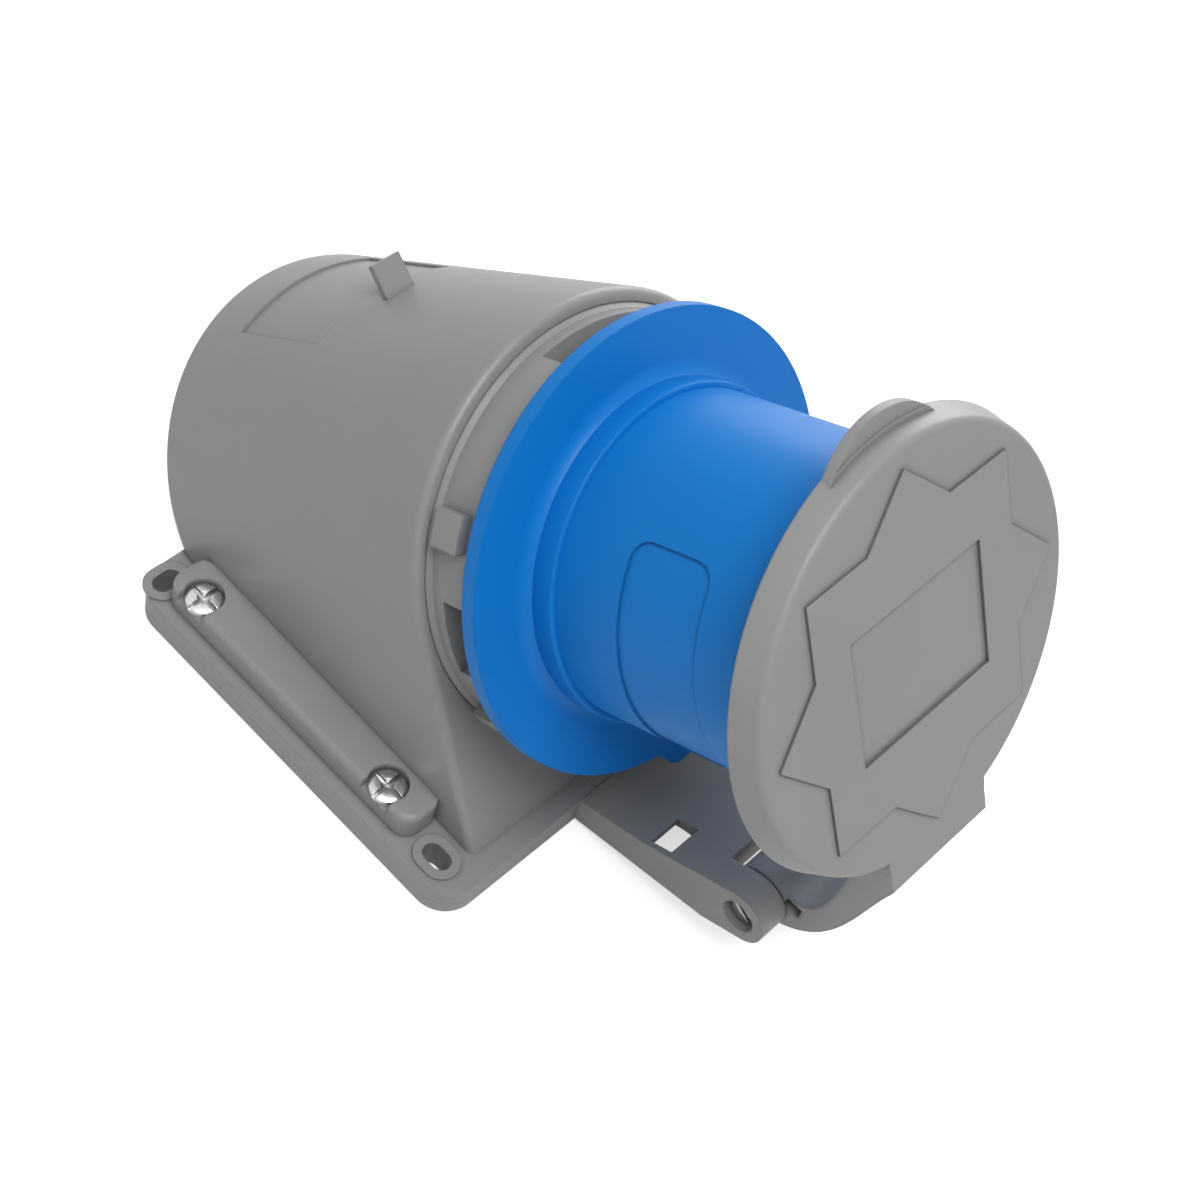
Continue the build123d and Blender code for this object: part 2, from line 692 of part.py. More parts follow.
# Inlet insert: shroud, flange and the bulkhead behind the contacts
with BuildPart() as inlet_insert:
    with BuildSketch(mouth_section):
        inside = shroud_radius - shroud_wall
        spigot_radius = collar_radius - collar_wall - spigot_gap
        with BuildLine():
            Polyline((inside, insert_front), (shroud_radius, insert_front),
                     (shroud_radius, insert_flange_front), (insert_flange_radius, insert_flange_front),
                     (insert_flange_radius, insert_rear), (spigot_radius, insert_rear),
                     (spigot_radius, spigot_rear), (spigot_inner, spigot_rear),
                     (spigot_inner, bulkhead_rear), (bulkhead_opening, bulkhead_rear),
                     (bulkhead_opening, bulkhead_front), (inside, bulkhead_front), close=True)
        make_face()
    revolve(axis=mouth_axis)
    root = [edge for edge in inlet_insert.edges().filter_by(GeomType.CIRCLE)
            if abs(edge.radius - shroud_radius) < 0.01]
    fillet(ShapeList(root).sort_by(mouth_axis)[0], shroud_root)
    with BuildSketch(mouth_plane(insert_rear)):
        with Locations((0, -(insert_tab_reach + collar_radius - 2) / 2)):
            RectangleRounded(2 * insert_tab_half, insert_tab_reach - collar_radius + 2, 5)
    extrude(amount=insert_flange_thickness)
    with BuildSketch(mouth_plane(insert_front + keyway_length)):
        with Locations((0, -inside / 2)):
            Rectangle(2 * keyway_half, inside / 2 + keyway_depth, align=(Align.CENTER, Align.MAX))
    extrude(amount=keyway_length, mode=Mode.SUBTRACT)
    add(panels.part, mode=Mode.SUBTRACT)
    with BuildSketch(mouth_plane(spigot_rear)):
        with Locations(*insert_screw_places):
            Circle(insert_screw_radius)
    extrude(amount=spigot_rear - insert_screw_tip, mode=Mode.SUBTRACT)
inlet_insert.part.label = "inlet_insert"
export_step(inlet_insert.part, "parts/inlet_insert.step")

with BuildPart() as insert_seal:
    with BuildSketch(mouth_plane(insert_rear + insert_seal_height)):
        Circle(collar_radius - collar_wall / 2 + insert_seal_width / 2)
        Circle(collar_radius - collar_wall / 2 - insert_seal_width / 2, mode=Mode.SUBTRACT)
    extrude(amount=insert_seal_height)
insert_seal.part.label = "insert_seal"
export_step(insert_seal.part, "parts/insert_seal.step")

for number, place in enumerate(insert_screw_places, 1):
    with BuildPart() as insert_screw:
        with BuildSketch(mouth_plane(front_inside)):
            with Locations(place):
                Circle(insert_screw_radius)
        extrude(amount=front_inside - insert_screw_tip)
        with BuildSketch(mouth_plane(front_inside + insert_head_height)):
            with Locations(place):
                Circle(insert_head_radius)
        extrude(amount=insert_head_height)
        with BuildSketch(mouth_plane(front_inside + insert_head_height)):
            with Locations(place):
                Rectangle(1.5 * insert_head_radius, screw_slot_width)
        extrude(amount=screw_slot_depth, mode=Mode.SUBTRACT)
    insert_screw.part.label = f"insert_screw_{number}"
    export_step(insert_screw.part, f"parts/insert_screw_{number}.step")

# Contact carrier, clamped to the bulkhead by the retainer behind it
with BuildPart() as contact_carrier:
    with BuildSketch(mouth_plane(bulkhead_front)):
        Circle(shroud_radius - shroud_wall - carrier_gap)
    extrude(amount=bulkhead_front - carrier_front)
    with BuildSketch(mouth_plane(bulkhead_rear)):
        Circle(bulkhead_opening - carrier_gap)
    extrude(amount=bulkhead_rear - bulkhead_front)
    for name, angle, radius, tip in pins:
        with BuildSketch(mouth_plane(bulkhead_rear)):
            with Locations(ring_place(pin_ring, angle)):
                Circle(radius + pin_neck + pin_gap)
        extrude(amount=bulkhead_rear - carrier_front, mode=Mode.SUBTRACT)
        with BuildSketch(mouth_plane(bulkhead_rear)):
            with Locations(ring_place(pin_ring, angle)):
                Circle(pin_shoulder_radius + pin_gap)
        extrude(amount=bulkhead_rear - pin_shoulder_front, mode=Mode.SUBTRACT)
    with BuildSketch(mouth_plane(bulkhead_rear)):
        with Locations(*on_sides([(retainer_screw_x, 0)])):
            Circle(retainer_screw_radius)
    extrude(amount=bulkhead_rear - retainer_screw_tip, mode=Mode.SUBTRACT)
contact_carrier.part.label = "contact_carrier"
export_step(contact_carrier.part, "parts/contact_carrier.step")

with BuildPart() as contact_retainer:
    with BuildSketch(mouth_plane(retainer_rear)):
        Circle(retainer_radius)
        with Locations(*[ring_place(pin_ring, angle) for name, angle, radius, tip in pins]):
            Circle(terminal_radius + pin_gap, mode=Mode.SUBTRACT)
        with Locations(*on_sides([(retainer_screw_x, 0)])):
            Circle(retainer_screw_radius + pin_gap, mode=Mode.SUBTRACT)
    extrude(amount=retainer_thickness)
contact_retainer.part.label = "contact_retainer"
export_step(contact_retainer.part, "parts/contact_retainer.step")

for number, place in enumerate(on_sides([(retainer_screw_x, 0)]), 1):
    with BuildPart() as retainer_screw:
        with BuildSketch(mouth_plane(retainer_rear)):
            with Locations(place):
                Circle(retainer_screw_radius)
        extrude(amount=retainer_rear - retainer_screw_tip)
        with BuildSketch(mouth_plane(retainer_rear + retainer_head_height)):
            with Locations(place):
                Circle(retainer_head_radius)
        extrude(amount=retainer_head_height)
        with BuildSketch(mouth_plane(retainer_rear + retainer_head_height)):
            with Locations(place):
                Rectangle(1.5 * retainer_head_radius, screw_slot_width)
        extrude(amount=screw_slot_depth, mode=Mode.SUBTRACT)
    retainer_screw.part.label = f"retainer_screw_{number}"
    export_step(retainer_screw.part, f"parts/retainer_screw_{number}.step")

# Contact pins, each with a shoulder and a screw terminal behind
for name, angle, radius, tip in pins:
    place = ring_place(pin_ring, angle)
    with BuildPart() as pin:
        with BuildSketch(mouth_plane(carrier_front)):
            with Locations(place):
                Circle(radius)
        extrude(amount=carrier_front - tip)
        fillet(pin.edges().sort_by(mouth_axis)[-1], pin_tip_round)
        with BuildSketch(mouth_plane(pin_shoulder_front)):
            with Locations(place):
                Circle(radius + pin_neck)
        extrude(amount=pin_shoulder_front - carrier_front)
        with BuildSketch(mouth_plane(bulkhead_rear)):
            with Locations(place):
                Circle(pin_shoulder_radius)
        extrude(amount=bulkhead_rear - pin_shoulder_front)
        with BuildSketch(mouth_plane(terminal_rear)):
            with Locations(place):
                Circle(terminal_radius)
        extrude(amount=terminal_rear - bulkhead_rear)
        with BuildSketch(mouth_plane(terminal_rear)):
            with Locations(place):
                Circle(cable_bore_radius)
        extrude(amount=cable_bore_depth, mode=Mode.SUBTRACT)
        with BuildSketch(terminal_plane(angle)):
            Circle(terminal_screw_radius)
        extrude(amount=terminal_screw_end, mode=Mode.SUBTRACT)
    pin.part.label = name
    export_step(pin.part, f"parts/{name}.step")

for number, (name, angle, radius, tip) in enumerate(pins, 1):
    with BuildPart() as terminal_screw:
        with BuildSketch(terminal_plane(angle).offset(terminal_screw_start)):
            Circle(terminal_screw_radius)
        extrude(amount=terminal_screw_end - terminal_screw_start)
        with BuildSketch(terminal_plane(angle).offset(terminal_screw_end)):
            Rectangle(3 * terminal_screw_radius, screw_slot_width)
        extrude(amount=-screw_slot_depth, mode=Mode.SUBTRACT)
    terminal_screw.part.label = f"terminal_screw_{number}"
    export_step(terminal_screw.part, f"parts/terminal_screw_{number}.step")
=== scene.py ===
import bpy, bmesh, json, math
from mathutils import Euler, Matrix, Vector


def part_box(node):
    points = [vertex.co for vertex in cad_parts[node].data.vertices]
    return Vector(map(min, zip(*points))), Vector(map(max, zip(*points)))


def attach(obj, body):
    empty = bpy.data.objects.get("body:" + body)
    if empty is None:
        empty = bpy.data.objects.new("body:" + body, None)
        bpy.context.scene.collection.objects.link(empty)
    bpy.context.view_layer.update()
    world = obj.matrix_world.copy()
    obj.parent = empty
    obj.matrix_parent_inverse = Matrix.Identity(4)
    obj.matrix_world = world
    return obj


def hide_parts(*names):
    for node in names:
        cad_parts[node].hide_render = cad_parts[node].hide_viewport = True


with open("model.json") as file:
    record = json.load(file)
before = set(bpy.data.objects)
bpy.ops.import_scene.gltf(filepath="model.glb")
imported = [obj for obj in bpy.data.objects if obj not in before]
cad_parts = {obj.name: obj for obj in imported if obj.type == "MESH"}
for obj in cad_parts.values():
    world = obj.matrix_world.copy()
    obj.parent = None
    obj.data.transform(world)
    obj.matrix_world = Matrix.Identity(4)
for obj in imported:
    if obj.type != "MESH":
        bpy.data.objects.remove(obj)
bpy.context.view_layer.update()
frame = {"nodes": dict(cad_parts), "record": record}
nodes = frame["nodes"]
scene = bpy.context.scene
print("frame loaded")

# camera, as the photograph was taken
cameraSettings = {
    "place": (-0.2776, -0.1825, 0.4744),
    "turn": (34.4157, -11.5778, -45.4385),   # degrees, XYZ
    "lens": 65.86, "sensor": 36,             # millimetres
    "nearest": 0.01,
}
cameraData = bpy.data.cameras.new("camera")
cameraData.lens = cameraSettings["lens"]
cameraData.sensor_width = cameraSettings["sensor"]
cameraData.clip_start = cameraSettings["nearest"]
camera = bpy.data.objects.new("camera", cameraData)
camera.location = cameraSettings["place"]
camera.rotation_euler = Euler([math.radians(a) for a in cameraSettings["turn"]], "XYZ")
scene.collection.objects.link(camera)
scene.camera = camera
print("camera placed")

# shader helpers
def addMath(make, join, operation, first, second, third=None, clamp=False):
    # each operand is a number, or the socket that it comes from
    node = make("ShaderNodeMath")
    node.operation = operation
    node.use_clamp = clamp
    for place, value in enumerate((first, second, third)):
        if value is None:
            continue
        if isinstance(value, (int, float)):
            node.inputs[place].default_value = value
        else:
            join(value, node.inputs[place])
    return node.outputs[0]


def addNoise(make, join, place, scale, detail):
    # the scale is a number, or the socket that it comes from
    noise = make("ShaderNodeTexNoise")
    noise.inputs["Detail"].default_value = detail
    join(place.outputs["Object"], noise.inputs["Vector"])
    if isinstance(scale, float):
        noise.inputs["Scale"].default_value = scale
    else:
        join(scale, noise.inputs["Scale"])
    return noise.outputs["Fac"]


def addTint(make, join, colour, shade):
    tint = make("ShaderNodeVectorMath")
    tint.operation = "SCALE"
    join(colour, tint.inputs[0])
    join(shade, tint.inputs["Scale"])
    return tint.outputs[0]


# soft studio light, a white surround and a pale floor
lightSettings = {
    "world": 0.35,      # strength of the light from all round
    "surround": 1.0,    # strength of the white that is seen and mirrored
    "aim": (0.0, -0.03, 0.06),
    "lamps": {
        "overhead": {"place": (-0.17, -0.3, 1.2), "size": 0.7, "power": 9.2},
        "left": {"place": (-0.85, -0.35, 0.75), "size": 0.8, "power": 0.5},
        "front": {"place": (0.1, -1.05, 0.55), "size": 0.8, "power": 0.4},
        "rightRear": {"place": (0.95, 0.4, 0.35), "size": 0.8, "power": 6.4},
    },
}


def addLamp(name, lamp):
    data = bpy.data.lights.new(name, "AREA")
    data.shape = "DISK"
    data.size = lamp["size"]
    data.energy = lamp["power"]
    lampObject = bpy.data.objects.new(name, data)
    lampObject.location = lamp["place"]
    look = Vector(lightSettings["aim"]) - Vector(lamp["place"])
    lampObject.rotation_euler = look.to_track_quat("-Z", "Y").to_euler()
    scene.collection.objects.link(lampObject)


for lampName, lamp in lightSettings["lamps"].items():
    addLamp(lampName, lamp)

world = bpy.data.worlds.new("studio")
scene.world = world
world.use_nodes = True
world.node_tree.nodes.clear()


def addBackground(make, strength):
    background = make("ShaderNodeBackground")
    background.inputs["Color"].default_value = (1, 1, 1, 1)
    background.inputs["Strength"].default_value = strength
    return background


def lightWorld(make, join):
    # camera, glossy and transmission rays meet the white surround, and all others the soft light
    ray = make("ShaderNodeLightPath")
    seen = addMath(make, join, "ADD", ray.outputs["Is Camera Ray"], ray.outputs["Is Glossy Ray"])
    seen = addMath(make, join, "ADD", seen, ray.outputs["Is Transmission Ray"], clamp=True)
    mix = make("ShaderNodeMixShader")
    join(seen, mix.inputs[0])
    join(addBackground(make, lightSettings["world"]).outputs[0], mix.inputs[1])
    join(addBackground(make, lightSettings["surround"]).outputs[0], mix.inputs[2])
    join(mix.outputs[0], make("ShaderNodeOutputWorld").inputs[0])


lightWorld(world.node_tree.nodes.new, world.node_tree.links.new)
scene.view_settings.view_transform = "Standard"

floorSettings = {"size": 6, "height": -0.0006, "shade": 0.9, "glow": 0.6, "roughness": 0.9, "gloss": 0.0}
bpy.ops.object.select_all(action="DESELECT")
bpy.ops.mesh.primitive_plane_add(size=floorSettings["size"], location=(0, 0, floorSettings["height"]))
floor = bpy.context.object
floor.name = "floor"
floorMaterial = bpy.data.materials.new("paleFloor")
floorMaterial.use_nodes = True
floorNodes = floorMaterial.node_tree.nodes
floorShader = floorNodes["Principled BSDF"]
floorShader.inputs["Base Color"].default_value = (*[floorSettings["shade"]] * 3, 1)
floorShader.inputs["Roughness"].default_value = floorSettings["roughness"]
floorShader.inputs["Specular IOR Level"].default_value = floorSettings["gloss"]
floorShader.inputs["Emission Color"].default_value = (*[floorSettings["glow"]] * 3, 1)
floorRay = floorNodes.new("ShaderNodeLightPath")      # the floor glows for the camera alone
floorMaterial.node_tree.links.new(floorRay.outputs["Is Camera Ray"], floorShader.inputs["Emission Strength"])
floor.data.materials.append(floorMaterial)
print("light and floor ready")


# shader groups
def newGroup(name, sockets):
    group = bpy.data.node_groups.new(name, "ShaderNodeTree")
    for direction, socketName, kind, value in sockets:
        socket = group.interface.new_socket(name=socketName, in_out=direction, socket_type=kind)
        if value is not None:
            socket.default_value = value
    return group, group.nodes.new("NodeGroupInput"), group.nodes.new("NodeGroupOutput")


grainSettings = {
    "detail": 3.0, "cloudScale": 26.0, "cloudDetail": 4.0,
    "cloudShare": 4.0,                        # of the clouds in the shade, beside the fine grain's 1
    "fineSheen": 0.14, "cloudSheen": 0.3,     # change of roughness
}


def mouldedGrainGroup():
    # fine spark-eroded grain with a slow change of shade and sheen, as on moulded plastic
    group, start, end = newGroup("mouldedGrain", [
        ("INPUT", "Colour", "NodeSocketColor", (0.5, 0.5, 0.5, 1)),
        ("INPUT", "Grain Scale", "NodeSocketFloat", 2600.0),
        ("INPUT", "Shade Change", "NodeSocketFloat", 0.05),
        ("INPUT", "Roughness", "NodeSocketFloat", 0.5),
        ("OUTPUT", "Colour", "NodeSocketColor", None),
        ("OUTPUT", "Roughness", "NodeSocketFloat", None),
        ("OUTPUT", "Height", "NodeSocketFloat", None),
    ])
    make, join = group.nodes.new, group.links.new
    place = make("ShaderNodeTexCoord")
    grain = addNoise(make, join, place, start.outputs["Grain Scale"], grainSettings["detail"])
    cloud = addNoise(make, join, place, grainSettings["cloudScale"], grainSettings["cloudDetail"])
    spread = addMath(make, join, "SUBTRACT", cloud, 0.5)
    slow = addMath(make, join, "MULTIPLY", spread, start.outputs["Shade Change"])
    fine = addMath(make, join, "SUBTRACT", grain, 0.5)
    speck = addMath(make, join, "MULTIPLY", fine, start.outputs["Shade Change"])
    both = addMath(make, join, "MULTIPLY_ADD", slow, grainSettings["cloudShare"], speck)
    shade = addMath(make, join, "ADD", both, 1.0)
    join(addTint(make, join, start.outputs["Colour"], shade), end.inputs["Colour"])
    sheen = addMath(make, join, "MULTIPLY_ADD", fine, grainSettings["fineSheen"], start.outputs["Roughness"])
    sheen = addMath(make, join, "MULTIPLY_ADD", spread, grainSettings["cloudSheen"], sheen, clamp=True)
    join(sheen, end.inputs["Roughness"])
    join(grain, end.inputs["Height"])
    return group


edgeSettings = {"edgeSamples": 3, "edgeGain": 6.0, "cornerSamples": 2, "cornerGain": 1.6}


def edgeAndCornerGroup():
    # the small rounding of moulded edges, a mask of the edges for rubbed wear and a painted highlight, and a
    # mask of the corners for painted shade
    group, start, end = newGroup("edgeAndCorner", [
        ("INPUT", "Edge Radius", "NodeSocketFloat", 0.0004),
        ("INPUT", "Corner Reach", "NodeSocketFloat", 0.0015),
        ("OUTPUT", "Edge", "NodeSocketFloat", None),
        ("OUTPUT", "Corner", "NodeSocketFloat", None),
        ("OUTPUT", "Normal", "NodeSocketVector", None),
    ])
    make, join = group.nodes.new, group.links.new
    rounding = make("ShaderNodeBevel")
    rounding.samples = edgeSettings["edgeSamples"]
    join(start.outputs["Edge Radius"], rounding.inputs["Radius"])
    surface = make("ShaderNodeNewGeometry")
    likeness = make("ShaderNodeVectorMath")
    likeness.operation = "DOT_PRODUCT"
    join(rounding.outputs["Normal"], likeness.inputs[0])
    join(surface.outputs["Normal"], likeness.inputs[1])
    turned = addMath(make, join, "SUBTRACT", 1.0, likeness.outputs["Value"])
    turned = addMath(make, join, "MULTIPLY", turned, edgeSettings["edgeGain"], clamp=True)
    # ambient occlusion finds the corners, creases and hollows that get painted shade
    hollow = make("ShaderNodeAmbientOcclusion")
    hollow.samples = edgeSettings["cornerSamples"]
    hollow.only_local = True
    join(start.outputs["Corner Reach"], hollow.inputs["Distance"])
    corner = addMath(make, join, "SUBTRACT", 1.0, hollow.outputs["AO"])
    corner = addMath(make, join, "MULTIPLY", corner, edgeSettings["cornerGain"], clamp=True)
    notCorner = addMath(make, join, "SUBTRACT", 1.0, corner, clamp=True)
    edge = addMath(make, join, "MULTIPLY", turned, notCorner)
    join(edge, end.inputs["Edge"])
    join(corner, end.inputs["Corner"])
    join(rounding.outputs["Normal"], end.inputs["Normal"])
    return group


wearSettings = {
    "patchScale": 140.0, "patchDetail": 5.0, "patchLow": 0.38, "patchHigh": 0.62,
    "leastWear": 0.35, "edgePolish": -0.08, "cornerDust": 0.2,
}


def wearDustAndPaintedLightGroup():
    # edges a little paler and smoother, partly rubbed wear and partly a painted highlight; corners a little
    # darker and duller, the darkening a painted shade and the dullness dust
    group, start, end = newGroup("wearDustAndPaintedLight", [
        ("INPUT", "Colour", "NodeSocketColor", (0.5, 0.5, 0.5, 1)),
        ("INPUT", "Roughness", "NodeSocketFloat", 0.5),
        ("INPUT", "Edge", "NodeSocketFloat", 0.0),
        ("INPUT", "Corner", "NodeSocketFloat", 0.0),
        ("INPUT", "Edge Shade", "NodeSocketFloat", 1.15),
        ("INPUT", "Corner Shade", "NodeSocketFloat", 0.6),
        ("OUTPUT", "Colour", "NodeSocketColor", None),
        ("OUTPUT", "Roughness", "NodeSocketFloat", None),
    ])
    make, join = group.nodes.new, group.links.new
    place = make("ShaderNodeTexCoord")
    patches = addNoise(make, join, place, wearSettings["patchScale"], wearSettings["patchDetail"])
    rubbed = make("ShaderNodeMapRange")
    rubbed.inputs["From Min"].default_value = wearSettings["patchLow"]
    rubbed.inputs["From Max"].default_value = wearSettings["patchHigh"]
    rubbed.inputs["To Min"].default_value = wearSettings["leastWear"]
    join(patches, rubbed.inputs["Value"])
    edge = addMath(make, join, "MULTIPLY", start.outputs["Edge"], rubbed.outputs["Result"], clamp=True)
    # edges paler in patches: partly rubbed wear, partly a painted highlight
    gain = addMath(make, join, "SUBTRACT", start.outputs["Edge Shade"], 1.0)
    paler = addMath(make, join, "MULTIPLY_ADD", edge, gain, 1.0)
    # corners darker: painted shade where the corner mask finds a crease or hollow
    loss = addMath(make, join, "SUBTRACT", 1.0, start.outputs["Corner Shade"])
    lost = addMath(make, join, "MULTIPLY", start.outputs["Corner"], loss)
    darker = addMath(make, join, "SUBTRACT", 1.0, lost)
    shade = addMath(make, join, "MULTIPLY", paler, darker)
    join(addTint(make, join, start.outputs["Colour"], shade), end.inputs["Colour"])
    smooth = addMath(make, join, "MULTIPLY_ADD", edge, wearSettings["edgePolish"], start.outputs["Roughness"])
    dull = addMath(make, join, "MULTIPLY_ADD", start.outputs["Corner"], wearSettings["cornerDust"], smooth,
                   clamp=True)
    join(dull, end.inputs["Roughness"])
    return group


mouldedGrain = mouldedGrainGroup()
edgeAndCorner = edgeAndCornerGroup()
wearDustAndPaintedLight = wearDustAndPaintedLightGroup()


def addSofterZones(material, edges, plainRadius, zones):
    # a larger edge radius inside each box (low corner, high corner, radius) and its mirror image, in metres
    make, join = material.node_tree.nodes.new, material.node_tree.links.new
    place = make("ShaderNodeTexCoord")
    apart = make("ShaderNodeSeparateXYZ")
    join(place.outputs["Object"], apart.inputs[0])
    across = addMath(make, join, "ABSOLUTE", apart.outputs["X"], None)
    radius = plainRadius
    for low, high, softer in zones:
        inside = 1.0
        for value, lowest, highest in zip((across, apart.outputs["Y"], apart.outputs["Z"]), low, high):
            above = addMath(make, join, "GREATER_THAN", value, lowest)
            below = addMath(make, join, "LESS_THAN", value, highest)
            inside = addMath(make, join, "MULTIPLY", inside, addMath(make, join, "MULTIPLY", above, below))
        radius = addMath(make, join, "MULTIPLY_ADD", inside, softer - plainRadius, radius)
    join(radius, edges.inputs["Edge Radius"])


bumpDistance = 0.0001      # metres


def pieceMaterial(name, look):
    material = bpy.data.materials.new(name)
    material.use_nodes = True
    make, join = material.node_tree.nodes.new, material.node_tree.links.new
    shader = material.node_tree.nodes["Principled BSDF"]
    shader.inputs["Specular IOR Level"].default_value = look.get("gloss", 0.5)
    shader.inputs["Metallic"].default_value = look.get("metallic", 0.0)
    grain = make("ShaderNodeGroup")
    grain.node_tree = mouldedGrain
    grain.inputs["Colour"].default_value = (*look["colour"], 1)
    grain.inputs["Grain Scale"].default_value = look["grainScale"]
    grain.inputs["Shade Change"].default_value = look["shadeChange"]
    grain.inputs["Roughness"].default_value = look["roughness"]
    edges = make("ShaderNodeGroup")
    edges.node_tree = edgeAndCorner
    edges.inputs["Edge Radius"].default_value = look["edgeRadius"]
    edges.inputs["Corner Reach"].default_value = look["cornerReach"]
    if "softer" in look:
        addSofterZones(material, edges, look["edgeRadius"], look["softer"])
    # the edges are paled with wear and a painted highlight, and the corners darkened with painted shade
    wear = make("ShaderNodeGroup")
    wear.node_tree = wearDustAndPaintedLight
    join(grain.outputs["Colour"], wear.inputs["Colour"])
    join(grain.outputs["Roughness"], wear.inputs["Roughness"])
    join(edges.outputs["Edge"], wear.inputs["Edge"])
    join(edges.outputs["Corner"], wear.inputs["Corner"])
    wear.inputs["Edge Shade"].default_value = look["edgeShade"]
    wear.inputs["Corner Shade"].default_value = look["cornerShade"]
    bump = make("ShaderNodeBump")
    bump.inputs["Strength"].default_value = look["grainDepth"]
    bump.inputs["Distance"].default_value = bumpDistance
    join(grain.outputs["Height"], bump.inputs["Height"])
    join(edges.outputs["Normal"], bump.inputs["Normal"])
    join(wear.outputs["Colour"], shader.inputs["Base Color"])
    join(wear.outputs["Roughness"], shader.inputs["Roughness"])
    join(bump.outputs["Normal"], shader.inputs["Normal"])
    return material


# edgeShade pales the edges with wear and a painted highlight; cornerShade darkens corners and creases with
# painted shade
greyLook = {
    "colour": (0.268, 0.268, 0.266), "gloss": 0.45, "roughness": 0.4,
    "grainScale": 2400.0, "grainDepth": 0.35, "shadeChange": 0.045,
    "edgeRadius": 0.0006, "cornerReach": 0.0016, "edgeShade": 1.3, "cornerShade": 0.5,
}
greyPlastic = pieceMaterial("greyPlastic", greyLook)
# the housing's creases get a lighter painted shade
housingPlastic = pieceMaterial("housingPlastic", {**greyLook, "cornerShade": 0.66})
armEdges = ((-0.001, -0.140, 0.010), (0.040, -0.105, 0.0635), 0.0021)     # softer edges along the lid's arm
# a stronger, wider painted shade round the star and the plate on the lid's face, drawing their outlines dark
lidPlastic = pieceMaterial("lidPlastic", {
    **greyLook, "cornerReach": 0.0019, "cornerShade": 0.34, "softer": [armEdges],
})
# a lighter and warmer copy of the grey plastic: painted light that lifts the shade under the insert and
# offsets the blue light reflected from it
bracketLightenedPlastic = pieceMaterial("bracketLightenedPlastic", {
    **greyLook, "colour": (0.3, 0.294, 0.283), "gloss": 0.2, "edgeRadius": 0.0008,
})
bluePlastic = pieceMaterial("bluePlastic", {
    "colour": (0.004, 0.188, 0.585), "gloss": 0.2, "roughness": 0.42,
    "grainScale": 2800.0, "grainDepth": 0.2, "shadeChange": 0.03,
    "edgeRadius": 0.0006, "cornerReach": 0.0016, "edgeShade": 1.12, "cornerShade": 0.5,
})
darkPlastic = pieceMaterial("darkPlastic", {
    "colour": (0.03, 0.03, 0.032), "gloss": 0.4, "roughness": 0.45,
    "grainScale": 2400.0, "grainDepth": 0.3, "shadeChange": 0.1,
    "edgeRadius": 0.0004, "cornerReach": 0.0015, "edgeShade": 1.5, "cornerShade": 0.6,
})
sealRubber = pieceMaterial("sealRubber", {
    "colour": (0.018, 0.018, 0.018), "gloss": 0.3, "roughness": 0.68,
    "grainScale": 1500.0, "grainDepth": 0.6, "shadeChange": 0.2,
    "edgeRadius": 0.0004, "cornerReach": 0.001, "edgeShade": 1.5, "cornerShade": 0.7,
})
brightSteel = pieceMaterial("brightSteel", {
    "colour": (0.6, 0.6, 0.61), "metallic": 1.0, "roughness": 0.2,
    "grainScale": 1400.0, "grainDepth": 0.08, "shadeChange": 0.12,
    "edgeRadius": 0.00025, "cornerReach": 0.0012, "edgeShade": 1.15, "cornerShade": 0.35,
})
contactMetal = pieceMaterial("contactMetal", {
    "colour": (0.66, 0.6, 0.48), "metallic": 1.0, "roughness": 0.24,
    "grainScale": 900.0, "grainDepth": 0.1, "shadeChange": 0.12,
    "edgeRadius": 0.0004, "cornerReach": 0.001, "edgeShade": 1.1, "cornerShade": 0.5,
})
print("materials ready")

slotMaterials = {
    "grey_plastic": greyPlastic, "blue_plastic": bluePlastic, "dark_plastic": darkPlastic,
    "black_rubber": sealRubber, "bright_steel": brightSteel, "contact_metal": contactMetal,
}
ownMaterials = {"housing": housingPlastic, "lid": lidPlastic, "hinge_bracket": bracketLightenedPlastic}
for piece in frame["record"]["subparts"]:
    node = nodes[piece["node"]]
    node.data.materials.clear()
    node.data.materials.append(ownMaterials.get(piece["node"], slotMaterials[piece["material_slot"]]))
print("materials on the frame")


# modelling helpers
slack = 0.0001      # metres, between a picked place and the limit that picks it
hair = 0.00001      # metres, the same for places that must agree
upright = 0.001     # metres, the least height of an upright edge


def isUpright(start, end):
    return abs(start.z - end.z) > upright


def pickFaces(piece, test):
    # in edit mode: select the faces whose centre and normal pass the test
    bpy.ops.mesh.select_all(action="DESELECT")
    bpy.ops.mesh.select_mode(type="FACE")
    shape = bmesh.from_edit_mesh(piece.data)
    for face in shape.faces:
        face.select_set(bool(test(face.calc_center_median(), face.normal)))
    bmesh.update_edit_mesh(piece.data)


def addPrimitive(kind, name, **sizes):
    bpy.ops.object.select_all(action="DESELECT")
    getattr(bpy.ops.mesh, "primitive_" + kind + "_add")(**sizes)
    piece = bpy.context.object
    piece.name = name
    bpy.ops.object.transform_apply(location=True, rotation=True, scale=True)
    return piece


def cutAway(piece, cutter):
    cut = piece.modifiers.new("cut", "BOOLEAN")
    cut.operation = "DIFFERENCE"
    cut.solver = "EXACT"
    cut.object = cutter
    bpy.context.view_layer.objects.active = piece
    bpy.ops.object.modifier_apply(modifier=cut.name)
    bpy.data.objects.remove(cutter)


def softenEdges(piece, width, segments=2, angle=30):
    soften = piece.modifiers.new("soften", "BEVEL")
    soften.width = width
    soften.segments = segments
    soften.limit_method = "ANGLE"
    soften.angle_limit = math.radians(angle)
    soften.use_clamp_overlap = True
    bpy.context.view_layer.objects.active = piece
    bpy.ops.object.modifier_apply(modifier=soften.name)


plainSmooth, fineSmooth, wireSmooth = 32, 24, 40     # degrees, the sharpest edge that is still shaded smooth


